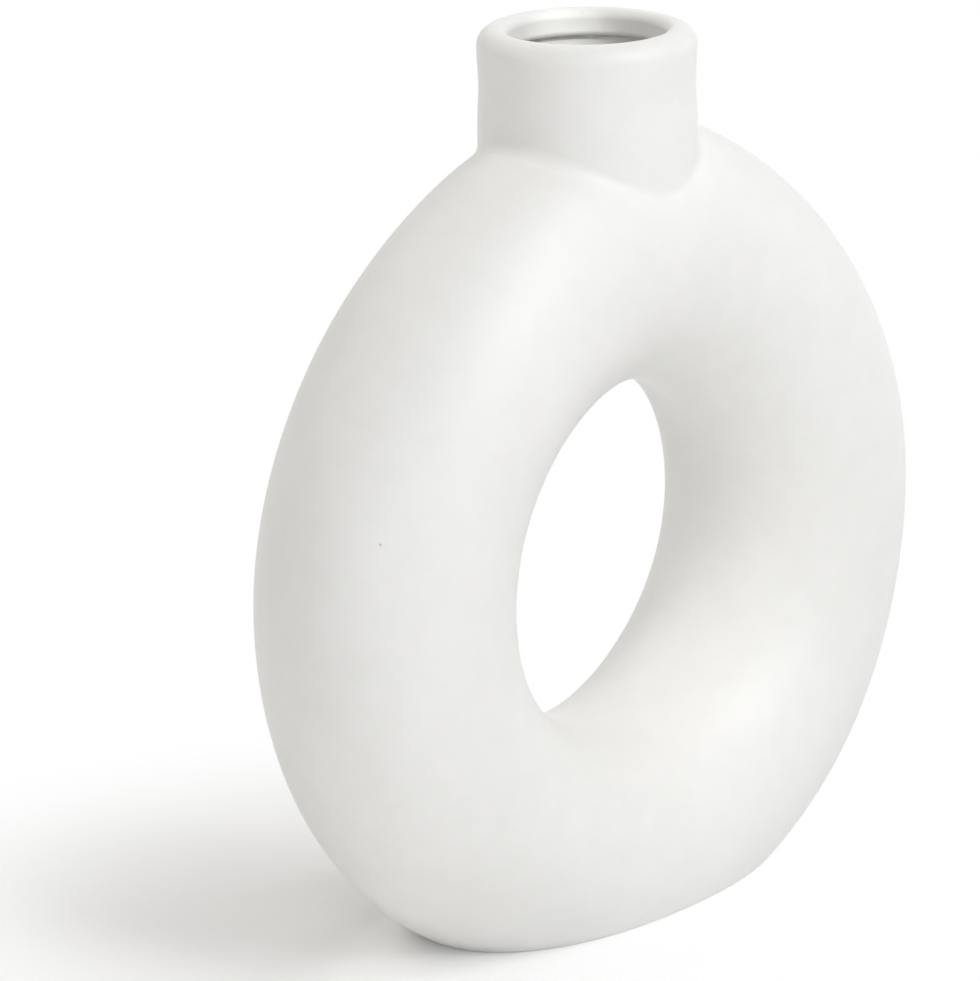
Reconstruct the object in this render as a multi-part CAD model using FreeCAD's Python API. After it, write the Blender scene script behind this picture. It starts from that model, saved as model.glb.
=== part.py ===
import FreeCAD, Part
import math
import os

# Donut vase: a hollow clay ring that stands on a flat foot, with a short neck on its crown.
# Five pieces meet along stepped seams, where the outer half of one wall laps over the inner
# half of the next: a front and a back half shell that meet on the ring's mid-plane, a foot
# slab that closes the flat underside, a neck collar, and a lip ring that rolls inwards over it.
# X runs along the ring's width, Y through its hole, and Z up from the centre of the foot.

# Ring: circles for its outline and its hole, and half of its thickness through Y at three places
ring_radius = 95.5
hole_radius = 39.2
side_half_depth = 28.5
crown_half_depth = 28.6
foot_half_depth = 31.2

# Shoulder: how far the crown swells out of the circle, and how fast that dies away to each side
shoulder_rise = 5.3
shoulder_spread_degrees = 24.7

# Foot: what the flat takes off the ring, its rounded edge, and the shallow hollow in its rim
foot_cut = 15.5
foot_round = 1.0
foot_rim = 6.0
foot_hollow = 0.8

# Neck: its set-back from the ring's faces, its rise over the ring's circle, its root and its lip
neck_set_back = 4.3
neck_rise = 24.5
neck_root_round = 3.5
collar_height = 9.8
lip_overhang = 2.6
lip_thickness = 6.2
lip_outer_round_share = 0.6
lip_inner_round_share = 0.32
lip_under_round_share = 0.24

# Clay wall, and the length over which two half walls lap
wall = 4.2
seam_lap = 4.0

# Sections lofted along half the ring, and the spare ones past each end that keep it smooth
section_count = 18
spare_sections = 2
half_turn_degrees = 180.0

half_wall = wall / 2
ring_centre_height = ring_radius - foot_cut
tube_centre_height = ring_centre_height + (ring_radius + hole_radius) / 2
neck_radius = crown_half_depth - neck_set_back
vase_height = ring_centre_height + ring_radius + neck_rise
lip_floor = vase_height - lip_thickness
collar_floor = lip_floor - collar_height
mouth_radius = neck_radius - wall - lip_overhang
reach = vase_height + ring_radius


def vector(x, y, z):
    """Point or direction."""
    return FreeCAD.Vector(x, y, z)


def block(y_low=-reach, y_high=reach, z_low=-reach, z_high=reach, x_low=-reach):
    """Box that fills all space between the given places."""
    low = vector(x_low, y_low, z_low)
    size = vector(reach, y_high, z_high) - low
    return Part.makeBox(size.x, size.y, size.z, low)


def join(first, second):
    """One solid from two that touch or overlap."""
    joined = first.fuse(second).removeSplitter()
    return joined.Solids[0] if len(joined.Solids) == 1 else joined


def outline_radius(angle):
    """Ring's outer radius at an angle from the crown."""
    swell = math.exp(-((angle / math.radians(shoulder_spread_degrees)) ** 2))
    return ring_radius + shoulder_rise * swell


def half_depth(angle):
    """Half of the ring's thickness through Y at an angle from the crown."""
    upward = math.cos(angle)
    towards_crown = (crown_half_depth - side_half_depth) * max(upward, 0) ** 2
    towards_foot = (foot_half_depth - side_half_depth) * min(upward, 0) ** 2
    return side_half_depth + towards_crown + towards_foot


def ring_section(angle, inset):
    """Oval section of the ring at an angle from the crown, drawn in by an inset."""
    turn = math.radians(2 * half_turn_degrees)
    nearest = (angle + turn / 2) % turn - turn / 2
    outer = outline_radius(nearest) - inset
    inner = hole_radius + inset
    centre = (outer + inner) / 2
    across = (inner - outer) / 2
    depth = half_depth(angle) - inset
    sine = math.sin(angle)
    cosine = math.cos(angle)
    unit_circle = Part.Wire(Part.Circle(vector(0, 0, 0), vector(0, 0, 1), 1).toShape())
    place = FreeCAD.Matrix(across * sine, 0, -cosine, centre * sine,
                           0, depth, 0, 0,
                           across * cosine, 0, sine, ring_centre_height + centre * cosine,
                           0, 0, 0, 1)
    return unit_circle.transformGeometry(place)


def half_ring(inset, floor):
    """Right half of the ring, drawn in by an inset and cut flat at a height above the table."""
    step = math.radians(half_turn_degrees) / section_count
    places = range(-spare_sections, section_count + spare_sections + 1)
    sweep = Part.makeLoft([ring_section(place * step, inset) for place in places], True, False)
    return sweep.common(block(x_low=0, z_low=floor))


def half_post(radius, top):
    """Right half of a round post from inside the ring's crown up to a height above the table."""
    foot_point = vector(0, 0, tube_centre_height)
    up = vector(0, 0, 1)
    post = Part.makeCylinder(radius, top - tube_centre_height, foot_point, up, half_turn_degrees)
    post.rotate(foot_point, up, -half_turn_degrees / 2)
    return post


def with_mirror(half):
    """A right half and its mirror image as one solid."""
    return join(half, half.mirror(vector(0, 0, 0), vector(1, 0, 0)))


def form(inset, floor, top):
    """Ring and neck as one solid, drawn in by an inset, between two heights."""
    return with_mirror(join(half_ring(inset, floor), half_post(neck_radius - inset, top)))


def outside_form():
    """The vase's outside below the collar, with the neck's root and the foot rounded."""
    half = join(half_ring(0, 0), half_post(neck_radius, collar_floor))
    root = [edge for edge in half.Edges if edge.BoundBox.XLength > foot_round
            and abs(edge.BoundBox.XMax - neck_radius) < foot_round
            and edge.BoundBox.ZMin < collar_floor - foot_round]
    whole = with_mirror(half.makeFillet(neck_root_round, root))
    foot_edge = [edge for edge in whole.Edges if edge.BoundBox.ZMax < foot_round]
    return whole.makeFillet(foot_round, foot_edge)


# The vase's outside, the surface half way through its wall, and its hollow
outside = outside_form()
wall_middle = form(half_wall, -reach, vase_height)
cavity = form(wall, wall, vase_height)


def stepped(shape, outer_waste, inner_waste):
    """Cut one block away outside the middle of the wall, and another one inside it."""
    return shape.cut(outer_waste.cut(wall_middle)).cut(inner_waste.common(wall_middle))


def half_shells():
    """Front and back half shells: the front one has a tongue that laps inside the back one."""
    walls = outside.cut(cavity)
    walls = stepped(walls, block(z_high=half_wall), block(z_high=wall))
    walls = stepped(walls, block(z_low=collar_floor), block(z_low=collar_floor - seam_lap))
    front = stepped(walls, block(y_low=0), block(y_low=seam_lap))
    back = stepped(walls, block(y_high=0), block(y_high=seam_lap))
    return front, back


def foot_slab():
    """Slab that fills the flat underside, stepped into the shells, with a hollow inside its rim."""
    slab = stepped(outside, block(z_low=half_wall), block(z_low=wall))
    hollow = with_mirror(half_ring(foot_rim, 0).common(block(z_high=foot_hollow)))
    return slab.cut(hollow)


def straight(points):
    """Straight edges through points given as radius and height."""
    places = [vector(radius, 0, height) for radius, height in points]
    return [Part.LineSegment(start, end).toShape() for start, end in zip(places, places[1:])]


def quarter_round(start, centre, end):
    """Quarter circle between two points given, like its centre, as radius and height."""
    first, middle, last = [vector(radius, 0, height) for radius, height in (start, centre, end)]
    outward = (first - middle) + (last - middle)
    halfway = middle + outward * ((first - middle).Length / outward.Length)
    return [Part.Arc(first, halfway, last).toShape()]


def turned(profile):
    """Solid of revolution about the neck's axis from a closed list of edges."""
    face = Part.Face(Part.Wire(Part.__sortEdges__(profile)))
    return face.revolve(vector(0, 0, 0), vector(0, 0, 1), 2 * half_turn_degrees)


def neck_collar():
    """Straight neck wall: a spigot below seats in the shells, and one above holds the lip ring."""
    inner = neck_radius - wall
    middle = neck_radius - half_wall
    return turned(straight([
        (inner, collar_floor - seam_lap),
        (middle, collar_floor - seam_lap),
        (middle, collar_floor),
        (neck_radius, collar_floor),
        (neck_radius, lip_floor - seam_lap),
        (middle, lip_floor - seam_lap),
        (middle, lip_floor),
        (inner, lip_floor),
        (inner, collar_floor - seam_lap),
    ]))


def lip_ring():
    """Lip with a skirt over the collar, rounded outside, at the mouth and underneath."""
    width = neck_radius - mouth_radius
    outer_round = width * lip_outer_round_share
    inner_round = width * lip_inner_round_share
    under_round = lip_thickness * lip_under_round_share
    middle = neck_radius - half_wall
    outer_centre = (neck_radius - outer_round, vase_height - outer_round)
    inner_centre = (mouth_radius + inner_round, vase_height - inner_round)
    under_centre = (mouth_radius + under_round, lip_floor + under_round)
    outer_start = (neck_radius, outer_centre[1])
    outer_end = (outer_centre[0], vase_height)
    inner_start = (inner_centre[0], vase_height)
    inner_end = (mouth_radius, inner_centre[1])
    under_start = (mouth_radius, under_centre[1])
    under_end = (under_centre[0], lip_floor)
    skirt = straight([under_end, (middle, lip_floor), (middle, lip_floor - seam_lap),
                      (neck_radius, lip_floor - seam_lap), outer_start])
    return turned(skirt
                  + quarter_round(outer_start, outer_centre, outer_end)
                  + straight([outer_end, inner_start])
                  + quarter_round(inner_start, inner_centre, inner_end)
                  + straight([inner_end, under_start])
                  + quarter_round(under_start, under_centre, under_end))


front_shell, back_shell = half_shells()
pieces = {
    "front_shell": front_shell,
    "back_shell": back_shell,
    "foot_slab": foot_slab(),
    "neck_collar": neck_collar(),
    "lip_ring": lip_ring(),
}

os.makedirs("parts", exist_ok=True)
for name, shape in pieces.items():
    print(name, "solids", len(shape.Solids), "valid", shape.isValid(), "volume", round(shape.Volume))
    shape.exportStep(os.path.join("parts", name + ".step"))
print("height", vase_height, "neck radius", neck_radius, "mouth radius", mouth_radius)
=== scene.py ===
import logging
import math
from dataclasses import dataclass, field
from enum import Enum
from typing import Sequence

import bpy
import numpy as np
from mathutils import Matrix, Vector


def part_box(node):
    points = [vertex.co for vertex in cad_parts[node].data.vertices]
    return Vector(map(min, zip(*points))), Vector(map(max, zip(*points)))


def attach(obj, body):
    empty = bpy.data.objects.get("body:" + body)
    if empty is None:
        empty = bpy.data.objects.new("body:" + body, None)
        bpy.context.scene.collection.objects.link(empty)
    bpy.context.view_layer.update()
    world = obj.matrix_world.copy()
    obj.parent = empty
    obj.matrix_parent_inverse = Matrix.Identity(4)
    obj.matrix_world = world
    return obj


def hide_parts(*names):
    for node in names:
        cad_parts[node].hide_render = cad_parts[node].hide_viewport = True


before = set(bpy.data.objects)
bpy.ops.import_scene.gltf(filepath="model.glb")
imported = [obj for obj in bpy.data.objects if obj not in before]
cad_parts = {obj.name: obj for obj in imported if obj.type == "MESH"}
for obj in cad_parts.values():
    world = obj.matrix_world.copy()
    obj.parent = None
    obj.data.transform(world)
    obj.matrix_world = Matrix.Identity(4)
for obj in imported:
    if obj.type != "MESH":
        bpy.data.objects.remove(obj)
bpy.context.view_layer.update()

# Donut vase of matte off-white clay: a hollow ring on a flat foot, with a short neck and a rolled lip.
# The outside, the middle and the inside of its wall are three skins on one shared net of quads. A clay
# piece is a set of the net's cells in the outer half of the wall and another set in the inner half, so
# its stepped seams follow from which cells it holds. Lengths are in metres and angles in radians.

Array = np.ndarray
log = logging.getLogger("donut_vase")
BODY = "root"
FULL_TURN = 2 * math.pi
UP = np.array((0.0, 0.0, 1.0))
WARM = (1.0, 0.975, 0.93)


class Skin(Enum):
    """A skin of the clay wall, as the share of the wall that lies outside it."""

    OUTSIDE = 0.0
    MIDDLE = 0.5
    INSIDE = 1.0


class Band(Enum):
    """A belt of the net, between the levels at which the clay pieces meet."""

    BODY = 0
    SPIGOT = 1
    COLLAR = 2
    SKIRT = 3
    FOOT_STEP = 4


class Coat(Enum):
    """Finish of a stretch of clay, as its place in a piece's list of materials."""

    GLAZED = 0
    BARE = 1


def unit(vectors: Array) -> Array:
    """Vectors at length one."""
    return vectors / np.linalg.norm(vectors, axis=-1, keepdims=True)


def wrapped(angles: Array) -> Array:
    """Angles within half a turn of zero."""
    return (angles + math.pi) % FULL_TURN - math.pi


def smooth_step(values: Array, start: float, end: float) -> Array:
    """Ease from 0 to 1 between two values.

    Args:
        values: Where to ease.
        start: Value at and below which the result is 0.
        end: Value at and above which the result is 1.

    Returns:
        Eased shares.
    """
    share = np.clip((values - start) / (end - start), 0.0, 1.0)
    return share * share * (3 - 2 * share)


def turned_between(first: Array, last: Array, share: float) -> Array:
    """Direction part of the way round from one direction to another.

    Args:
        first: Directions at share 0.
        last: Directions at share 1.
        share: How far round to go.

    Returns:
        Unit directions.
    """
    angle = np.arccos(np.clip((first * last).sum(-1, keepdims=True), -1.0, 1.0))
    return (first * np.sin((1 - share) * angle) + last * np.sin(share * angle)) / np.sin(angle)


@dataclass(frozen=True)
class VaseForm:
    """Sizes of the vase and the smooth surfaces that they give."""

    ring_radius: float = 0.0955
    hole_radius: float = 0.0392
    side_half_depth: float = 0.0285
    crown_half_depth: float = 0.0286
    foot_half_depth: float = 0.0312
    shoulder_rise: float = 0.0053
    shoulder_spread: float = math.radians(24.7)
    foot_cut: float = 0.0155
    foot_round: float = 0.001
    foot_rim: float = 0.006
    foot_hollow: float = 0.0008
    neck_root_round: float = 0.0035
    lip_thickness: float = 0.0062
    lip_overhang: float = 0.0026
    seam_lap: float = 0.004
    wall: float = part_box("foot_slab")[1].z
    neck_radius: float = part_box("neck_collar")[1].x
    height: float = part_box("lip_ring")[1].z
    collar_floor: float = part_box("front_shell")[1].z

    @property
    def centre_height(self) -> float:
        """Height of the ring's centre over the table."""
        return self.ring_radius - self.foot_cut

    @property
    def lip_floor(self) -> float:
        """Height of the lip's underside."""
        return self.height - self.lip_thickness

    def inset(self, skin: Skin) -> float:
        """Depth of a skin under the outside."""
        return self.wall * skin.value

    def ring_point(self, angle: Array, turn: Array, inset: float) -> Array:
        """Points on the ring.

        Args:
            angle: Angle round the ring from its crown, towards +X.
            turn: Angle round the ring's section from its outer line, towards the front.
            inset: How far the surface is drawn in.

        Returns:
            Points, with their coordinates on the last axis.
        """
        nearest = wrapped(angle)
        swell = self.shoulder_rise * np.exp(-((nearest / self.shoulder_spread) ** 2))
        outer = self.ring_radius + swell - inset
        inner = self.hole_radius + inset
        upward = np.cos(angle)
        crown = (self.crown_half_depth - self.side_half_depth) * np.maximum(upward, 0) ** 2
        foot = (self.foot_half_depth - self.side_half_depth) * np.minimum(upward, 0) ** 2
        depth = self.side_half_depth + crown + foot - inset
        reach = (outer + inner) / 2 + (outer - inner) / 2 * np.cos(turn)
        return np.stack((reach * np.sin(angle), -depth * np.sin(turn),
                         self.centre_height + reach * upward), axis=-1)

    def ring_normal(self, angle: Array, turn: Array, inset: float) -> Array:
        """Outward normals of the ring, for the same arguments as its points."""
        nudge = 1e-5
        point = self.ring_point
        along = point(angle + nudge, turn, inset) - point(angle - nudge, turn, inset)
        across = point(angle, turn + nudge, inset) - point(angle, turn - nudge, inset)
        return unit(np.cross(across, along))


@dataclass(frozen=True)
class HandFinish:
    """Small unevenness of hand-made clay, as a gentle warp of the space that the vase stands in."""

    sway: float = 0.00016
    longest_wave: float = 0.11
    shortest_wave: float = 0.04
    waves: int = 10
    shrink_share: float = 0.002
    waist_depth: float = 0.00035
    waist_height: float = 0.1875
    waist_spread: float = 0.0055
    settled_height: float = 0.02
    seed: int = 11

    def warp(self, points: Array) -> Array:
        """How far each point of the clay moves.

        Args:
            points: Points of the true form.

        Returns:
            A move for each point. The flat foot keeps its plane.
        """
        dice = np.random.default_rng(self.seed)
        move = np.zeros_like(points)
        for _ in range(self.waves):
            heading = unit(dice.normal(size=3))
            pull = unit(dice.normal(size=3))
            wave = FULL_TURN / dice.uniform(self.shortest_wave, self.longest_wave)
            phase = dice.uniform(0, FULL_TURN)
            move += pull * np.sin(points @ heading * wave + phase)[..., None]
        move *= self.sway / math.sqrt(self.waves)
        middle = np.array((0.0, 0.0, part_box("front_shell")[1].z / 2))
        move -= self.shrink_share * (points - middle)
        waist = np.exp(-(((points[..., 2] - self.waist_height) / self.waist_spread) ** 2))
        flat = points * (1 - UP)
        nonzero_reach = np.linalg.norm(flat, axis=-1, keepdims=True) + 1e-9
        move -= flat / nonzero_reach * (waist * self.waist_depth)[..., None]
        move[..., 2] *= smooth_step(points[..., 2], 0.0, self.settled_height)
        return move

    def settle(self, points: Array, normals: Array) -> tuple[Array, Array]:
        """Warped points and the normals that go with them.

        Args:
            points: Points of the true form.
            normals: Their normals there.

        Returns:
            The moved points and the turned normals.
        """
        step = 1e-5
        lean = np.zeros_like(normals)
        for axis in range(3):
            nudge = np.zeros(3)
            nudge[axis] = step
            slope = (self.warp(points + nudge) - self.warp(points - nudge)) / (2 * step)
            lean[..., axis] = (slope * normals).sum(-1)
        return points + self.warp(points), unit(normals - lean)


@dataclass
class Solid:
    """Closed surface of one clay piece, kept as quads with a normal at each of their corners."""

    quads: list[Array] = field(default_factory=list)
    normals: list[Array] = field(default_factory=list)
    coats: list[Array] = field(default_factory=list)
    weld_digits: int = 9

    def add_quads(self, corners: Array, normals: Array | None = None, coat: Coat = Coat.GLAZED) -> None:
        """Take in quads.

        Args:
            corners: Points in an array of faces by four corners by three.
            normals: A normal for each corner, or nothing for flat faces.
            coat: Finish of the clay there.
        """
        if normals is None:
            across = corners[:, 2] - corners[:, 0]
            other = corners[:, 3] - corners[:, 1]
            normals = np.repeat(unit(np.cross(across, other))[:, None], 4, axis=1)
        self.quads.append(corners)
        self.normals.append(np.broadcast_to(normals, corners.shape))
        self.coats.append(np.full(len(corners), coat.value))

    def add_loops(self, points: Array, normals: Array | None = None, coat: Coat = Coat.GLAZED) -> None:
        """Join closed loops of points, each with the next, by quads.

        Args:
            points: Points in an array of loops by places by three.
            normals: A normal for each point, or nothing for flat faces.
            coat: Finish of the clay there.
        """
        def joined(values: Array) -> Array:
            """Values at the corners of the quads between the loops."""
            ahead = np.roll(values, -1, axis=1)
            return np.stack((values[:-1], ahead[:-1], ahead[1:], values[1:]), axis=2).reshape(-1, 4, 3)
        self.add_quads(joined(points), None if normals is None else joined(normals), coat)

    def build(self, name: str, hand: HandFinish) -> bpy.types.Object:
        """Make the Blender object.

        Args:
            name: Name of the piece.
            hand: Unevenness to give it.

        Returns:
            A smooth mesh with the true normals, in the scene.
        """
        corners, normals = hand.settle(np.concatenate(self.quads), np.concatenate(self.normals))
        points, places = np.unique(np.round(corners.reshape(-1, 3), self.weld_digits),
                                   axis=0, return_inverse=True)
        faces, kept = [], []
        for face, face_normals in zip(places.reshape(-1, 4).tolist(), normals.tolist()):
            corner_ids = [k for k in range(4) if face[k] != face[k - 1]]
            faces.append([face[k] for k in corner_ids])
            kept.extend(face_normals[k] for k in corner_ids)
        mesh = bpy.data.meshes.new(name)
        mesh.from_pydata(points.tolist(), [], faces)
        mesh.polygons.foreach_set("use_smooth", np.ones(len(faces), bool))
        mesh.polygons.foreach_set("material_index", np.concatenate(self.coats))
        mesh.normals_split_custom_set(kept)
        piece = bpy.data.objects.new(name, mesh)
        bpy.context.scene.collection.objects.link(piece)
        log.info("%s: %d points, %d faces, %d open edges",
                 name, len(points), len(faces), open_edges(faces))
        return piece


def open_edges(faces: Sequence[Sequence[int]]) -> int:
    """Number of edges that don't join exactly two faces, which is 0 for a closed mesh."""
    seen: dict[tuple[int, int], int] = {}
    for face in faces:
        for first, second in zip(face, [*face[1:], face[0]]):
            edge = (min(first, second), max(first, second))
            seen[edge] = seen.get(edge, 0) + 1
    return sum(count != 2 for count in seen.values())


@dataclass
class Window:
    """Rectangle of the ring's net that makes way for loops into the neck or the foot."""

    middle_share: float
    sense: int
    half_columns: int
    half_rows: int
    offsets: Array = field(init=False)

    def __post_init__(self) -> None:
        """List the border's places from the window's middle, from its +X side through the front."""
        wide, tall = self.half_columns, self.half_rows
        side = [(wide, row) for row in range(tall)]
        front = [(column, tall) for column in range(wide, -wide, -1)]
        far = [(-wide, row) for row in range(tall, -tall, -1)]
        back = [(column, -tall) for column in range(-wide, wide)]
        last = [(wide, row) for row in range(-tall, 0)]
        self.offsets = np.array(side + front + far + back + last)
        self.offsets[:, 0] *= self.sense

    @property
    def places(self) -> int:
        """Number of points round the window."""
        return len(self.offsets)


@dataclass
class Net:
    """Quads that all three skins share: a belt round the ring, and loops into the neck and the foot."""

    columns: int = 288
    rows: int = 80
    lap_cells: int = 2
    patch_loops: int = 7
    round_loops: int = 5
    stub_loops: int = 4
    foot_loops: int = 5
    neck: Window = field(default_factory=lambda: Window(0.0, 1, 19, 20))
    foot: Window = field(default_factory=lambda: Window(0.5, -1, 34, 20))
    neck_rows: tuple[tuple[Band, int], ...] = ((Band.SPIGOT, 2), (Band.COLLAR, 4), (Band.SKIRT, 2))

    def __post_init__(self) -> None:
        """Number the net's points and list its cells."""
        self.cells: Array = np.zeros((0, 4), int)
        self.bands: Array = np.zeros(0, int)
        self.front: Array = np.zeros(0, bool)
        self.lapped: Array = np.zeros(0, bool)
        self._add_ring_cells()
        count = self.columns * self.rows
        neck_bands = [Band.BODY] * (self.patch_loops + self.round_loops + self.stub_loops)
        for band, loops in self.neck_rows:
            neck_bands += [band] * loops
        foot_bands = [Band.BODY] * self.foot_loops + [Band.FOOT_STEP]
        self.neck_loops = self._loops(self.neck, neck_bands, count, facing=-1)
        count += self.neck_loops[1:].size
        self.foot_loops_ids = self._loops(self.foot, foot_bands, count, facing=1)
        self.points = count + self.foot_loops_ids[1:].size

    def _take(self, cells: Array, bands: Array, belt: Array, around: int) -> None:
        """Take in cells with their bands and their places on a belt that starts at the front."""
        half = around // 2
        self.cells = np.concatenate((self.cells, cells))
        self.bands = np.concatenate((self.bands, bands))
        self.front = np.concatenate((self.front, belt < half))
        lapped = (belt + self.lap_cells) % around < half + 2 * self.lap_cells
        self.lapped = np.concatenate((self.lapped, lapped))

    def _add_ring_cells(self) -> None:
        """Take in the ring's cells outside both windows."""
        column, row = np.meshgrid(np.arange(self.columns), np.arange(self.rows), indexing="ij")
        next_column, next_row = (column + 1) % self.columns, (row + 1) % self.rows
        corners = [(column, row), (column, next_row), (next_column, next_row), (next_column, row)]
        cells = np.stack([c * self.rows + r for c, r in corners], axis=-1)
        keep = np.ones(column.shape, bool)
        for window in (self.neck, self.foot):
            middle = window.middle_share * self.columns
            across = (column + 0.5 - middle + self.columns / 2) % self.columns - self.columns / 2
            along = (row + 0.5 + self.rows / 2) % self.rows - self.rows / 2
            keep &= (abs(across) > window.half_columns) | (abs(along) > window.half_rows)
        self._take(cells[keep], np.full(keep.sum(), Band.BODY.value), row[keep], self.rows)

    def _border(self, window: Window) -> Array:
        """Net points on a window's border."""
        column = (window.offsets[:, 0] + int(window.middle_share * self.columns)) % self.columns
        return column * self.rows + window.offsets[:, 1] % self.rows

    def _loops(self, window: Window, bands: Sequence[Band], first: int, facing: int) -> Array:
        """Number a window's loops and take in the cells between them.

        Args:
            window: Window whose border is the outermost loop.
            bands: Band of each belt of cells, from the border inwards.
            first: Number of the first new point.
            facing: 1 where the loops run round the outward normal, or -1.

        Returns:
            Point numbers in an array of loops by places.
        """
        inner = first + np.arange(len(bands) * window.places).reshape(len(bands), window.places)
        loops = np.concatenate((self._border(window)[None], inner))
        ahead = np.roll(loops, -1, axis=1)
        cells = np.stack((loops[:-1], ahead[:-1], ahead[1:], loops[1:]), axis=-1)
        if facing < 0:
            cells = cells[..., ::-1]
        belt = np.broadcast_to(np.arange(window.places), cells.shape[:2])
        values = np.repeat([band.value for band in bands], window.places)
        self._take(cells.reshape(-1, 4), values, belt.reshape(-1), window.places)
        return loops

    def border_angles(self, window: Window) -> tuple[Array, Array]:
        """Angles of a window's border round the ring and round its section, from its middle."""
        return (window.offsets[:, 0] * FULL_TURN / self.columns,
                window.offsets[:, 1] * FULL_TURN / self.rows)

    @property
    def headings(self) -> Array:
        """Unit directions from the neck's axis to each place on the neck's loops."""
        angle = np.arange(self.neck.places) * FULL_TURN / self.neck.places
        return np.stack((np.cos(angle), -np.sin(angle), 0 * angle), axis=-1)


@dataclass
class WallSkins:
    """Places and normals of the net's points on each skin of the wall."""

    form: VaseForm
    net: Net
    contact_rounds: int = 12
    halvings: int = 40
    points: dict[Skin, Array] = field(default_factory=dict)
    normals: dict[Skin, Array] = field(default_factory=dict)

    def __post_init__(self) -> None:
        """Work out all three skins."""
        for skin in Skin:
            self.points[skin] = np.zeros((self.net.points, 3))
            self.normals[skin] = np.zeros((self.net.points, 3))
            self._lay_ring(skin)
            self._lay_neck(skin)
            self._lay_foot(skin)

    def _put(self, skin: Skin, ids: Array, points: Array, normals: Array) -> None:
        """Write points and normals at net points."""
        self.points[skin][ids] = points
        self.normals[skin][ids] = normals

    def _on_ring(self, skin: Skin, ids: Array, angle: Array, turn: Array) -> None:
        """Lay net points on the ring at given angles."""
        inset = self.form.inset(skin)
        self._put(skin, ids, self.form.ring_point(angle, turn, inset),
                  self.form.ring_normal(angle, turn, inset))

    def _lay_ring(self, skin: Skin) -> None:
        """Lay the belt round the ring."""
        net = self.net
        column, row = np.divmod(np.arange(net.columns * net.rows), net.rows)
        self._on_ring(skin, np.arange(len(column)), column * FULL_TURN / net.columns,
                      row * FULL_TURN / net.rows)

    def _root_contact(self, reach: float, ball: float, inset: float) -> tuple[Array, Array]:
        """Where a ball that rolls round the neck's root touches the ring.

        Args:
            reach: Distance of the ball's centre from the neck's axis.
            ball: Radius of the ball.
            inset: How far the ring is drawn in.

        Returns:
            Angles round the ring and round its section, for each place on the neck's loops.
        """
        form, target = self.form, reach * self.net.headings[:, :2]
        angle = np.arcsin(target[:, 0] / (form.ring_radius + ball))
        turn = np.arcsin(-target[:, 1] / (form.crown_half_depth - inset + ball))
        nudge = 1e-6
        for _ in range(self.contact_rounds):
            def miss(a: Array, t: Array) -> Array:
                """How far the ball's centre is from its line, seen from above."""
                centre = form.ring_point(a, t, inset) + ball * form.ring_normal(a, t, inset)
                return centre[:, :2] - target
            error = miss(angle, turn)
            by_angle = (miss(angle + nudge, turn) - error) / nudge
            by_turn = (miss(angle, turn + nudge) - error) / nudge
            scale = by_angle[:, 0] * by_turn[:, 1] - by_angle[:, 1] * by_turn[:, 0]
            angle = angle - (error[:, 0] * by_turn[:, 1] - error[:, 1] * by_turn[:, 0]) / scale
            turn = turn - (by_angle[:, 0] * error[:, 1] - by_angle[:, 1] * error[:, 0]) / scale
        return angle, turn

    def _lay_neck(self, skin: Skin) -> None:
        """Lay the loops from the ring over the neck's rounded root and up its wall."""
        form, net = self.form, self.net
        inset, ball = form.inset(skin), form.neck_root_round
        radius = form.neck_radius - inset
        loops = iter(net.neck_loops[1:])
        start_angle, start_turn = net.border_angles(net.neck)
        angle, turn = self._root_contact(radius + ball, ball, inset)
        for step in range(1, net.patch_loops + 1):
            share = step / net.patch_loops
            self._on_ring(skin, next(loops), start_angle + share * (angle - start_angle),
                          start_turn + share * (turn - start_turn))
        normal = form.ring_normal(angle, turn, inset)
        centre = form.ring_point(angle, turn, inset) + ball * normal
        for step in range(1, net.round_loops + 1):
            away = turned_between(normal, net.headings, step / net.round_loops)
            self._put(skin, next(loops), centre - ball * away, away)
        levels = [centre[:, 2]]
        bands = [(form.collar_floor - form.seam_lap, net.stub_loops)]
        tops = (form.collar_floor, form.lip_floor - form.seam_lap, form.lip_floor)
        bands += [(top, count) for top, (_, count) in zip(tops, net.neck_rows)]
        for top, count in bands:
            base = levels[-1]
            levels += [base + (top - base) * step / count for step in range(1, count + 1)]
        for level in levels[1:]:
            points = net.headings * radius + UP * np.reshape(level, (-1, 1))
            self._put(skin, next(loops), points, net.headings)

    def foot_share(self, inset: float, level: float, ball: float = 0.0) -> Array:
        """How far out from the foot's middle a surface passes a level, as shares of the window.

        Args:
            inset: How far the ring is drawn in.
            level: Height over the table.
            ball: Radius of a ball inside the surface whose centre has to be at that level.

        Returns:
            A share for each place on the foot's loops.
        """
        low, high = np.zeros(self.net.foot.places), np.ones(self.net.foot.places)
        for _ in range(self.halvings):
            middle = (low + high) / 2
            points, normals = self.foot_points(inset, middle)
            above = (points - ball * normals)[:, 2] > level
            low, high = np.where(above, low, middle), np.where(above, middle, high)
        return high

    def foot_points(self, inset: float, share: Array) -> tuple[Array, Array]:
        """Points and normals of the ring at shares of the way from the foot's middle to its window."""
        angle, turn = self.net.border_angles(self.net.foot)
        angle, turn = math.pi + angle * share, turn * share
        return self.form.ring_point(angle, turn, inset), self.form.ring_normal(angle, turn, inset)

    def _lay_foot(self, skin: Skin) -> None:
        """Lay the loops from the ring down to the two levels of the foot's step."""
        form, net = self.form, self.net
        inset = form.inset(skin)
        upper = self.foot_share(inset, form.wall)
        lower = self.foot_share(inset, form.wall * Skin.MIDDLE.value)
        shares = [1 + (upper - 1) * step / net.foot_loops for step in range(1, net.foot_loops + 1)]
        for ids, share in zip(net.foot_loops_ids[1:], [*shares, lower]):
            points, normals = self.foot_points(inset, share)
            self._put(skin, ids, points, normals)

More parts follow.
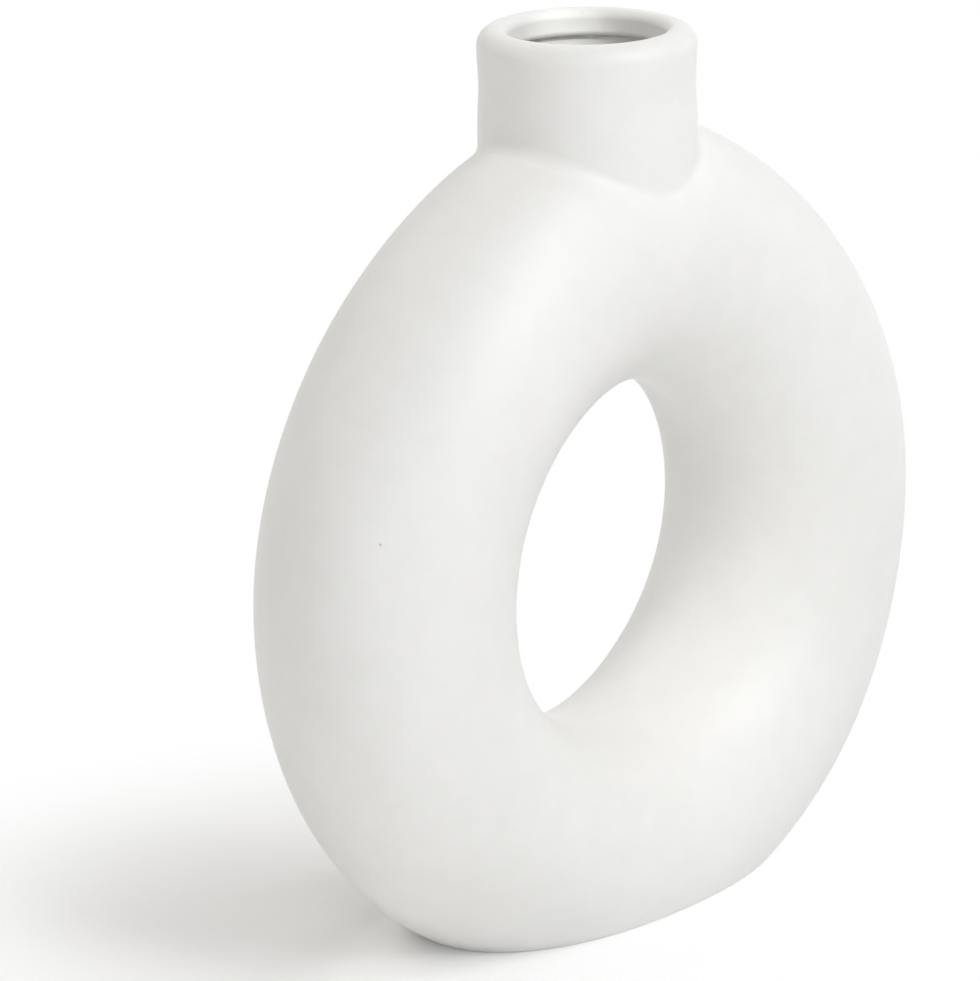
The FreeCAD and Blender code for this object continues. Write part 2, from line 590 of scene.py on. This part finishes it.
    def piece(self, outer: Array, inner: Array) -> Solid:
        """Closed surface of the clay in given cells of each half of the wall.

        Args:
            outer: Which cells the piece fills in the wall's outer half.
            inner: Which cells it fills in the wall's inner half.

        Returns:
            The piece's surface.
        """
        solid = Solid()
        self._cover(solid, Skin.OUTSIDE, outer, 1)
        self._cover(solid, Skin.MIDDLE, inner & ~outer, 1)
        self._cover(solid, Skin.MIDDLE, outer & ~inner, -1)
        self._cover(solid, Skin.INSIDE, inner, -1)
        self._edge(solid, outer, Skin.OUTSIDE, Skin.MIDDLE)
        self._edge(solid, inner, Skin.MIDDLE, Skin.INSIDE)
        return solid

    def _cover(self, solid: Solid, skin: Skin, chosen: Array, facing: int) -> None:
        """Add cells of a skin, facing out of the vase for 1 or into it for -1."""
        cells = self.net.cells[chosen][:, ::facing]
        solid.add_quads(self.points[skin][cells], facing * self.normals[skin][cells])

    def _edge(self, solid: Solid, chosen: Array, above: Skin, below: Skin) -> None:
        """Close half of the wall round the chosen cells, between the skins above and below it."""
        cells = self.net.cells[chosen]
        starts = cells.reshape(-1)
        ends = np.roll(cells, -1, axis=1).reshape(-1)
        keys = starts * self.net.points + ends
        alone = ~np.isin(ends * self.net.points + starts, keys)
        first, last = starts[alone], ends[alone]
        top, bottom = self.points[above], self.points[below]
        solid.add_quads(np.stack((top[last], top[first], bottom[first], bottom[last]), axis=1))


class Signal:
    """Output of a shader node. Sums, products and the like of signals add the nodes that do them."""

    def __init__(self, bench: "Bench", socket: bpy.types.NodeSocket) -> None:
        """Wrap an output socket. New nodes go on the bench."""
        self.bench = bench
        self.socket = socket

    @property
    def is_value(self) -> bool:
        """Whether the signal is a number, and not a colour or a vector."""
        return self.socket.type == "VALUE"

    def _do(self, operation: str, *operands: "Signal | float", swap: bool = False) -> "Signal":
        """Result of a math operation on this signal and others, the other way round for swap."""
        inputs = [self, *operands]
        if swap:
            inputs.reverse()
        kind = "ShaderNodeMath" if self.is_value else "ShaderNodeVectorMath"
        return self.bench.add(kind, {"operation": operation}, dict(enumerate(inputs)))

    def __add__(self, other: "Signal | float") -> "Signal":
        """Sum."""
        return self._do("ADD", other)

    def __radd__(self, other: float) -> "Signal":
        """Sum with a number first."""
        return self._do("ADD", other, swap=True)

    def __sub__(self, other: "Signal | float") -> "Signal":
        """Difference."""
        return self._do("SUBTRACT", other)

    def __rsub__(self, other: float) -> "Signal":
        """Difference from a number."""
        return self._do("SUBTRACT", other, swap=True)

    def __mul__(self, other: "Signal | float") -> "Signal":
        """Product."""
        return self._do("MULTIPLY", other)

    def __rmul__(self, other: float) -> "Signal":
        """Product with a number first."""
        return self._do("MULTIPLY", other, swap=True)

    def __lt__(self, other: "Signal | float") -> "Signal":
        """1 where this is less, and 0 elsewhere."""
        return self._do("LESS_THAN", other)

    def larger(self, other: "Signal | float") -> "Signal":
        """The larger of two."""
        return self._do("MAXIMUM", other)

    @property
    def length(self) -> "Signal":
        """Length of a vector."""
        return self.bench.add("ShaderNodeVectorMath", {"operation": "LENGTH"}, {0: self}, "Value")

    def beside(self, output: str) -> "Signal":
        """Another output of the same node."""
        return Signal(self.bench, self.socket.node.outputs[output])


Link = Signal | float | Sequence[float]


class Bench:
    """Node tree of a material or a world, and the one method that adds nodes to it."""

    def __init__(self, owner: bpy.types.Material | bpy.types.World) -> None:
        """Take a material or a world and empty its node tree."""
        owner.use_nodes = True
        self.tree = owner.node_tree
        self.tree.nodes.clear()

    @staticmethod
    def _pick(sockets: bpy.types.bpy_prop_collection, key: int | str) -> bpy.types.NodeSocket:
        """Socket with a place or a name, among those that the node's settings leave in use."""
        live = [socket for socket in sockets if socket.enabled]
        if isinstance(key, int):
            return live[key]
        return next(socket for socket in live if socket.name == key)

    def add(self, kind: str, settings: dict[str, object] | None = None,
            inputs: dict[int | str, Link] | None = None, output: int | str = 0) -> Signal | None:
        """Add a node.

        Args:
            kind: Blender's type name of the node.
            settings: Properties to set first.
            inputs: Values or signals for its sockets, by place or by name.
            output: Output to return, by place or by name.

        Returns:
            The node's output as a signal, or nothing for a node without outputs.
        """
        node = self.tree.nodes.new(kind)
        for name, value in (settings or {}).items():
            setattr(node, name, value)
        for key, value in (inputs or {}).items():
            socket = self._pick(node.inputs, key)
            if isinstance(value, Signal):
                self.tree.links.new(value.socket, socket)
            else:
                socket.default_value = value
        return Signal(self, self._pick(node.outputs, output)) if node.outputs else None

    def noise(self, place: Signal, size: float, detail: float = 2.0, roughness: float = 0.5) -> Signal:
        """Noise between 0 and 1.

        Args:
            place: Where it is taken.
            size: Rough width of its spots.
            detail: Octaves of finer noise in it.
            roughness: Strength of the finer noise.

        Returns:
            The noise.
        """
        return self.add("ShaderNodeTexNoise", {}, {"Vector": place, "Scale": 1 / size,
                                                   "Detail": detail, "Roughness": roughness})

    def spread(self, value: Signal, low: float, high: float) -> Signal:
        """Ease a signal from 0 at one value to 1 at another."""
        return self.add("ShaderNodeMapRange", {"interpolation_type": "SMOOTHSTEP"},
                        {"Value": value, "From Min": low, "From Max": high})

    def mix(self, share: Link, first: Link, second: Link) -> Signal:
        """Colour between two colours."""
        return self.add("ShaderNodeMix", {"data_type": "RGBA"},
                        {"Factor": share, "A": first, "B": second})

    def surface(self, colour: Signal, gloss: Signal, relief: Signal) -> None:
        """Finish a material as clay.

        Args:
            colour: Its colour.
            gloss: Its roughness.
            relief: Its height, in metres.
        """
        bump = self.add("ShaderNodeBump", {}, {"Strength": 1.0, "Distance": 1.0, "Height": relief})
        shader = self.add("ShaderNodeBsdfPrincipled", {}, {
            "Base Color": colour, "Roughness": gloss, "Normal": bump})
        self.add("ShaderNodeOutputMaterial", {}, {"Surface": shader})


@dataclass(frozen=True)
class Pinhole:
    """Small soft mark in the glaze: its place on the vase, its radius and how dark it is."""

    place: tuple[float, float, float]
    radius: float
    strength: float
    edge: tuple[float, float] = (0.4, 1.4)

    def mark(self, bench: Bench, place: Signal) -> Signal:
        """The mark as a share of the specks' tone, for a given place on the clay."""
        start, end = self.edge
        away = (place - self.place).length
        return self.strength * (1 - bench.spread(away, self.radius * start, self.radius * end))


@dataclass(frozen=True)
class ClayFinish:
    """Matte off-white clay with a thin satin glaze: slow tone changes, fine grain, rare specks."""

    name: str = "matte_glaze"
    light_tone: tuple[float, ...] = (0.805, 0.802, 0.787, 1.0)
    deep_tone: tuple[float, ...] = (0.77, 0.766, 0.75, 1.0)
    speck_tone: tuple[float, ...] = (0.30, 0.27, 0.23, 1.0)
    cloud_size: float = 0.05
    mottle_size: float = 0.006
    grain_size: float = 0.00035
    grain_depth: float = 0.000012
    sponge_size: float = 0.0035
    sponge_depth: float = 0.00003
    cloud_share: float = 0.65
    tone_spread: tuple[float, float] = (0.32, 0.68)
    roughness: float = 0.42
    mottle_gloss: float = 0.08
    grain_gloss: float = 0.1
    speck_spacing: float = 0.03
    speck_radius: float = 0.00022
    speck_share: float = 0.12
    speck_depth: float = 0.000072
    speck_edge: tuple[float, float] = (0.7, 1.2)
    pinholes: tuple[Pinhole, ...] = (
        Pinhole((-0.0856, -0.0174, 0.1061), 0.00030, 0.6),
        Pinhole((0.0127, 0.0128, 0.1990), 0.00036, 0.15),
    )

    def material(self) -> bpy.types.Material:
        """Make the material."""
        material = bpy.data.materials.new(self.name)
        bench = Bench(material)
        place = bench.add("ShaderNodeTexCoord", output="Object")
        cloud = bench.noise(place, self.cloud_size)
        mottle = bench.noise(place, self.mottle_size, detail=4.0)
        grain = bench.noise(place, self.grain_size, detail=3.0, roughness=0.6)
        sponge = bench.noise(place, self.sponge_size)
        specks = self._specks(bench, place)
        clouds = cloud * self.cloud_share + mottle * (1 - self.cloud_share)
        tone = bench.spread(clouds, *self.tone_spread)
        colour = bench.mix(tone, self.deep_tone, self.light_tone)
        colour = bench.mix(specks, colour, self.speck_tone)
        gloss = self.roughness + self.mottle_gloss * (mottle - 0.5) + self.grain_gloss * (grain - 0.5)
        relief = grain * self.grain_depth + sponge * self.sponge_depth - specks * self.speck_depth
        bench.surface(colour, gloss, relief)
        return material

    def _specks(self, bench: Bench, place: Signal) -> Signal:
        """Rare round specks of iron and pinholes in the clay.

        Args:
            bench: Where their nodes go.
            place: Where they are taken.

        Returns:
            1 in a speck and 0 elsewhere.
        """
        cells = {"Vector": place, "Scale": 1 / self.speck_spacing}
        distance = bench.add("ShaderNodeTexVoronoi", {}, cells, "Distance")
        colour = bench.add("ShaderNodeTexVoronoi", {}, cells, "Color")
        chance = bench.add("ShaderNodeSeparateColor", {}, {"Color": colour}, "Red")
        radius = self.speck_radius / self.speck_spacing
        edge = [radius * share for share in self.speck_edge]
        specks = (chance < self.speck_share) * (1 - bench.spread(distance, *edge))
        for pinhole in self.pinholes:
            specks = specks.larger(pinhole.mark(bench, place))
        return specks


@dataclass(frozen=True)
class BareClay:
    """Unglazed, finely sanded clay of the foot."""

    name: str = "bare_clay"
    light_tone: tuple[float, ...] = (0.74, 0.72, 0.68, 1.0)
    deep_tone: tuple[float, ...] = (0.66, 0.63, 0.58, 1.0)
    grit_size: float = 0.0006
    grit_depth: float = 0.00005
    cloud_size: float = 0.02
    cloud_share: float = 0.5
    tone_spread: tuple[float, float] = (0.35, 0.65)
    roughness: float = 0.85
    grit_gloss: float = 0.1

    def material(self) -> bpy.types.Material:
        """Make the material."""
        material = bpy.data.materials.new(self.name)
        bench = Bench(material)
        place = bench.add("ShaderNodeTexCoord", output="Object")
        cloud = bench.noise(place, self.cloud_size, detail=4.0)
        grit = bench.noise(place, self.grit_size, detail=3.0, roughness=0.7)
        clouds = cloud * self.cloud_share + grit * (1 - self.cloud_share)
        tone = bench.spread(clouds, *self.tone_spread)
        colour = bench.mix(tone, self.deep_tone, self.light_tone)
        gloss = self.roughness + self.grit_gloss * (grit - 0.5)
        bench.surface(colour, gloss, grit * self.grit_depth)
        return material


@dataclass
class Kiln:
    """Where the surface of a clay piece gets its unevenness, its finishes and its node's place."""

    hand: HandFinish = HandFinish()
    finishes: tuple[ClayFinish | BareClay, ...] = (ClayFinish(), BareClay())

    def __post_init__(self) -> None:
        """Make the materials, in the order of the coats."""
        self.materials = [finish.material() for finish in self.finishes]

    def fire(self, node: str, solid: Solid) -> None:
        """Make a finished piece.

        Args:
            node: CAD node that it stands for.
            solid: Its surface.
        """
        piece = solid.build(f"{node}_clay", self.hand)
        last_coat = int(np.concatenate(solid.coats).max())
        for material in self.materials[:last_coat + 1]:
            piece.data.materials.append(material)
        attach(piece, BODY)
        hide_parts(node)
        log.info("%s stands for %s", piece.name, node)


@dataclass
class Shells:
    """Front and back half shells. The front one's inner half wall laps into the back one."""

    skins: WallSkins

    def build(self, kiln: Kiln) -> None:
        """Make and dress both shells."""
        net = self.skins.net
        body = net.bands == Band.BODY.value
        outer = body | (net.bands == Band.SPIGOT.value) | (net.bands == Band.FOOT_STEP.value)
        kiln.fire("front_shell", self.skins.piece(outer & net.front, body & net.lapped))
        kiln.fire("back_shell", self.skins.piece(outer & ~net.front, body & ~net.lapped))


@dataclass
class NeckCollar:
    """Straight wall of the neck, with a spigot down into the shells and another up into the lip."""

    skins: WallSkins

    def build(self, kiln: Kiln) -> None:
        """Make and dress the collar."""
        bands = self.skins.net.bands
        collar = bands == Band.COLLAR.value
        inner = collar | (bands == Band.SPIGOT.value) | (bands == Band.SKIRT.value)
        kiln.fire("neck_collar", self.skins.piece(collar, inner))


@dataclass
class FootSlab:
    """Slab that closes the flat underside: a step up into the shells, a rounded rim and a hollow."""

    skins: WallSkins
    fill_shares: tuple[float, ...] = (1.0, 0.85, 0.65, 0.45, 0.25, 0.1, 0.0)
    round_loops: int = 4

    def build(self, kiln: Kiln) -> None:
        """Make and dress the slab."""
        step_loops = self.skins.net.foot_loops_ids[-2:]
        riser = self.skins.points[Skin.MIDDLE][step_loops]
        rim = self.skins.points[Skin.OUTSIDE][step_loops[1]]
        solid = Solid()
        solid.add_loops(self._filled(riser[0])[::-1], coat=Coat.BARE)
        solid.add_loops(riser, self.skins.normals[Skin.MIDDLE][step_loops], Coat.BARE)
        solid.add_loops(np.stack((riser[1], rim)), coat=Coat.BARE)
        self._add_rounded_side(solid)
        kiln.fire("foot_slab", solid)

    def _filled(self, loop: Array) -> Array:
        """Loops that fill a flat loop down to its middle."""
        middle = loop.mean(axis=0)
        return np.stack([middle + (loop - middle) * share for share in self.fill_shares])

    def _add_rounded_side(self, solid: Solid) -> None:
        """Add the side below the shells, the rounded edge, the rim and the hollow in it."""
        skins, form = self.skins, self.skins.form
        start = skins.foot_share(0.0, form.wall * Skin.MIDDLE.value)
        end = skins.foot_share(0.0, form.foot_round, form.foot_round)
        side = [skins.foot_points(0.0, start + (end - start) * share) for share in (0.0, 0.5, 1.0)]
        points = [pair[0] for pair in side]
        normals = [pair[1] for pair in side]
        centre = points[-1] - form.foot_round * normals[-1]
        for step in range(1, self.round_loops + 1):
            away = turned_between(side[-1][1], -UP, step / self.round_loops)
            points.append(centre + form.foot_round * away)
            normals.append(away)
        solid.add_loops(np.stack(points), np.stack(normals))
        rim = points[-1]
        mouth = skins.foot_points(form.foot_rim, skins.foot_share(form.foot_rim, 0.0))[0]
        roof = skins.foot_points(form.foot_rim, skins.foot_share(form.foot_rim, form.foot_hollow))[0]
        solid.add_loops(np.stack((rim, (rim + mouth) / 2, mouth)), coat=Coat.BARE)
        solid.add_loops(np.stack((mouth, roof)), coat=Coat.BARE)
        solid.add_loops(self._filled(roof), coat=Coat.BARE)


@dataclass
class LipRing:
    """Rolled lip: a skirt over the collar, and rounds outside, at the mouth and underneath."""

    form: VaseForm
    headings: Array
    outer_round_share: float = 0.6
    inner_round_share: float = 0.32
    under_round_share: float = 0.24
    round_steps: int = 10
    straight_steps: int = 4

    def build(self, kiln: Kiln) -> None:
        """Make and dress the lip."""
        form = self.form
        top, floor = form.height, form.lip_floor
        middle = form.neck_radius - form.wall * Skin.MIDDLE.value
        mouth = form.neck_radius - form.wall - form.lip_overhang
        width = form.neck_radius - mouth
        outer, inner = width * self.outer_round_share, width * self.inner_round_share
        under = form.lip_thickness * self.under_round_share
        skirt = floor - form.seam_lap
        quarter = math.pi / 2
        solid = Solid()
        self._straight(solid, (form.neck_radius, skirt), (form.neck_radius, top - outer))
        self._rounded(solid, (form.neck_radius - outer, top - outer), outer, 0.0, quarter)
        self._straight(solid, (form.neck_radius - outer, top), (mouth + inner, top))
        self._rounded(solid, (mouth + inner, top - inner), inner, quarter, 2 * quarter)
        self._straight(solid, (mouth, top - inner), (mouth, floor + under))
        self._rounded(solid, (mouth + under, floor + under), under, 2 * quarter, 3 * quarter)
        self._straight(solid, (mouth + under, floor), (middle, floor))
        self._straight(solid, (middle, floor), (middle, skirt))
        self._straight(solid, (middle, skirt), (form.neck_radius, skirt))
        kiln.fire("lip_ring", solid)

    def _turn(self, solid: Solid, profile: Array, leans: Array) -> None:
        """Turn a stretch of profile, with its normals, given as radius and height, round the axis."""
        points = profile[:, None, :1] * self.headings + profile[:, None, 1:] * UP
        normals = leans[:, None, :1] * self.headings + leans[:, None, 1:] * UP
        solid.add_loops(points[::-1], normals[::-1])

    def _straight(self, solid: Solid, start: tuple[float, float], end: tuple[float, float]) -> None:
        """Add a straight stretch between two places given as radius and height."""
        shares = np.linspace(0.0, 1.0, self.straight_steps + 1)[:, None]
        profile = np.array(start) * (1 - shares) + np.array(end) * shares
        along = unit(np.array(end) - np.array(start))
        self._turn(solid, profile, np.broadcast_to((along[1], -along[0]), profile.shape))

    def _rounded(self, solid: Solid, centre: tuple[float, float], radius: float,
                 start: float, end: float) -> None:
        """Add a round stretch.

        Args:
            solid: Where to add it.
            centre: Radius and height of its centre.
            radius: Its radius.
            start: Angle above the outward direction at which it starts.
            end: Angle at which it ends.
        """
        angles = np.linspace(start, end, self.round_steps + 1)
        leans = np.stack((np.cos(angles), np.sin(angles)), axis=-1)
        self._turn(solid, np.array(centre) + radius * leans, leans)


def towards(azimuth: float, elevation: float) -> Vector:
    """Unit direction at an azimuth, from the front towards +X, and at an elevation."""
    flat = math.cos(elevation)
    return Vector((math.sin(azimuth) * flat, -math.cos(azimuth) * flat, math.sin(elevation)))


@dataclass(frozen=True)
class PhotoCamera:
    """Camera where the photograph was taken from, found by fitting the vase's outline."""

    azimuth: float = math.radians(-47.7749)
    elevation: float = math.radians(17.7842)
    roll: float = math.radians(-0.7906)
    distance: float = 1.10297
    target_height: float = 0.08994
    image_width: int = 980
    image_height: int = 981
    focal_pixels: float = 4907.85
    centre_column: float = 593.04
    centre_row: float = 505.91
    nearest: float = 0.05
    farthest: float = 50.0

    def build(self) -> None:
        """Make the camera and give it to the scene."""
        long_side = max(self.image_width, self.image_height)
        data = bpy.data.cameras.new("photo_camera")
        data.lens = self.focal_pixels * data.sensor_width / long_side
        data.shift_x = (self.image_width / 2 - self.centre_column) / long_side
        data.shift_y = (self.centre_row - self.image_height / 2) / long_side
        data.clip_start, data.clip_end = self.nearest, self.farthest
        back = towards(self.azimuth, self.elevation)
        camera = bpy.data.objects.new("photo_camera", data)
        camera.rotation_mode = "QUATERNION"
        facing = (-back).to_track_quat("-Z", "Y").to_matrix() @ Matrix.Rotation(self.roll, 3, "Z")
        camera.rotation_quaternion = facing.to_quaternion()
        camera.location = Vector((0, 0, self.target_height)) + back * self.distance
        bpy.context.scene.collection.objects.link(camera)
        bpy.context.scene.camera = camera


@dataclass(frozen=True)
class Aim:
    """Where a lamp hangs: its angles, counted like the camera's but in degrees, and its distance."""

    azimuth: float
    elevation: float
    distance: float
    target: tuple[float, float, float] = (0.0, 0.0, PhotoCamera.target_height)

    def hang(self, data: bpy.types.Light, mirrored: bool) -> None:
        """Hang a lamp.

        Args:
            data: The lamp.
            mirrored: Whether the glaze mirrors it.
        """
        back = towards(math.radians(self.azimuth), math.radians(self.elevation))
        lamp = bpy.data.objects.new(data.name, data)
        lamp.location = Vector(self.target) + back * self.distance
        lamp.rotation_mode = "QUATERNION"
        lamp.rotation_quaternion = (-back).to_track_quat("-Z", "Y")
        lamp.visible_glossy = mirrored
        bpy.context.scene.collection.objects.link(lamp)


@dataclass(frozen=True)
class Softbox:
    """Square studio softbox that looks at the vase."""

    name: str
    aim: Aim
    width: float
    power: float
    colour: tuple[float, float, float] = (1.0, 1.0, 1.0)
    mirrored: bool = False

    def build(self) -> None:
        """Make the lamp."""
        data = bpy.data.lights.new(self.name, "AREA")
        data.shape = "SQUARE"
        data.size = self.width
        data.energy = self.power
        data.color = self.colour
        self.aim.hang(data, self.mirrored)


@dataclass(frozen=True)
class Snoot:
    """Weak narrow beam that looks over the near lip at the far wall of the mouth."""

    name: str = "mouth_snoot"
    aim: Aim = Aim(-32.0, 34.0, 0.8, (0.0095, 0.0153, 0.1895))
    beam_radius: float = 0.0125
    lamp_radius: float = 0.002
    power: float = 11.0

    def build(self) -> None:
        """Make the lamp."""
        data = bpy.data.lights.new(self.name, "SPOT")
        data.spot_size = 2 * math.atan(self.beam_radius / self.aim.distance)
        data.spot_blend = 1.0
        data.shadow_soft_size = self.lamp_radius
        data.energy = self.power
        self.aim.hang(data, mirrored=False)


@dataclass(frozen=True)
class Studio:
    """Plain white studio: a pale floor that goes over into white, a white backdrop and softboxes."""

    floor_half_width: float = 4.0
    floor_tone: tuple[float, ...] = (0.96, 0.96, 0.96, 1.0)
    seen_floor_tone: tuple[float, ...] = (0.975, 0.975, 0.975, 1.0)
    white: tuple[float, ...] = (1.0, 1.0, 1.0, 1.0)
    shadow_middle: tuple[float, float, float] = (-0.058, 0.035, 0.0)
    fade_start: float = 0.02
    fade_end: float = 0.125
    world_strength: float = 0.01
    softboxes: tuple[Softbox, ...] = (
        Softbox("low_key", Aim(4.0, 33.0, 1.6), 0.5, 5.8, mirrored=True),
        Softbox("high_key", Aim(6.0, 56.0, 1.6), 0.5, 3.3, mirrored=True),
        Softbox("side_key", Aim(20.0, 56.0, 1.6), 0.5, 2.1, mirrored=True),
        Softbox("front", Aim(-45.0, 38.0, 1.8), 1.2, 8.4),
        Softbox("front_low", Aim(-67.5, 9.0, 1.8), 0.8, 5.2),
        Softbox("top", Aim(22.5, 65.0, 1.8), 1.2, 1.6),
        Softbox("right", Aim(45.0, 38.0, 1.8), 1.2, 4.6),
        Softbox("far_right", Aim(90.0, 38.0, 1.8), 1.2, 10.2),
        Softbox("back", Aim(180.0, 38.0, 1.8), 1.2, 11.5, WARM),
        Softbox("back_left", Aim(-135.0, 38.0, 1.8), 1.2, 4.1, WARM),
    )
    snoot: Snoot = Snoot()

    def build(self) -> None:
        """Make the floor, the world and the lamps."""
        self._lay_floor()
        self._light_world()
        for softbox in self.softboxes:
            softbox.build()
        self.snoot.build()
        bpy.context.scene.view_settings.view_transform = "Standard"

    @staticmethod
    def _looked_at(bench: Bench) -> Signal:
        """1 for rays by which the camera sees something, directly, mirrored or through it."""
        camera = bench.add("ShaderNodeLightPath", output="Is Camera Ray")
        mirrored = camera.larger(camera.beside("Is Glossy Ray"))
        return mirrored.larger(camera.beside("Is Transmission Ray"))

    def _lay_floor(self) -> None:
        """Lay the floor at the height of the foot."""
        half = self.floor_half_width
        mesh = bpy.data.meshes.new("studio_floor")
        corners = [(-half, -half, 0), (half, -half, 0), (half, half, 0), (-half, half, 0)]
        mesh.from_pydata(corners, [], [(0, 1, 2, 3)])
        floor = bpy.data.objects.new("studio_floor", mesh)
        bpy.context.scene.collection.objects.link(floor)
        material = bpy.data.materials.new("studio_floor")
        bench = Bench(material)
        seen = self._looked_at(bench)
        place = bench.add("ShaderNodeTexCoord", output="Object")
        fade = bench.spread((place - self.shadow_middle).length, self.fade_start, self.fade_end) * seen
        near = bench.add("ShaderNodeBsdfDiffuse", {}, {
            "Color": bench.mix(seen, self.floor_tone, self.seen_floor_tone)})
        far = bench.add("ShaderNodeEmission", {}, {"Color": self.white, "Strength": 1.0})
        shader = bench.add("ShaderNodeMixShader", {}, {0: fade, 1: near, 2: far})
        bench.add("ShaderNodeOutputMaterial", {}, {"Surface": shader})
        mesh.materials.append(material)

    def _light_world(self) -> None:
        """Put white behind everything, with little light of its own."""
        world = bpy.data.worlds.new("studio_world")
        bpy.context.scene.world = world
        bench = Bench(world)
        strength = self._looked_at(bench) * (1 - self.world_strength) + self.world_strength
        light = bench.add("ShaderNodeBackground", {}, {"Color": self.white, "Strength": strength})
        bench.add("ShaderNodeOutputWorld", {}, {"Surface": light})


def main() -> None:
    """Build and dress the vase's sub-assemblies in order, and set up the studio."""
    logging.basicConfig(level=logging.INFO, format="%(name)s: %(message)s")
    PhotoCamera().build()
    form, net = VaseForm(), Net()
    skins, kiln = WallSkins(form, net), Kiln()
    for maker in (Shells(skins), FootSlab(skins), NeckCollar(skins), LipRing(form, net.headings)):
        maker.build(kiln)
    Studio().build()


if __name__ == "__main__":
    main()
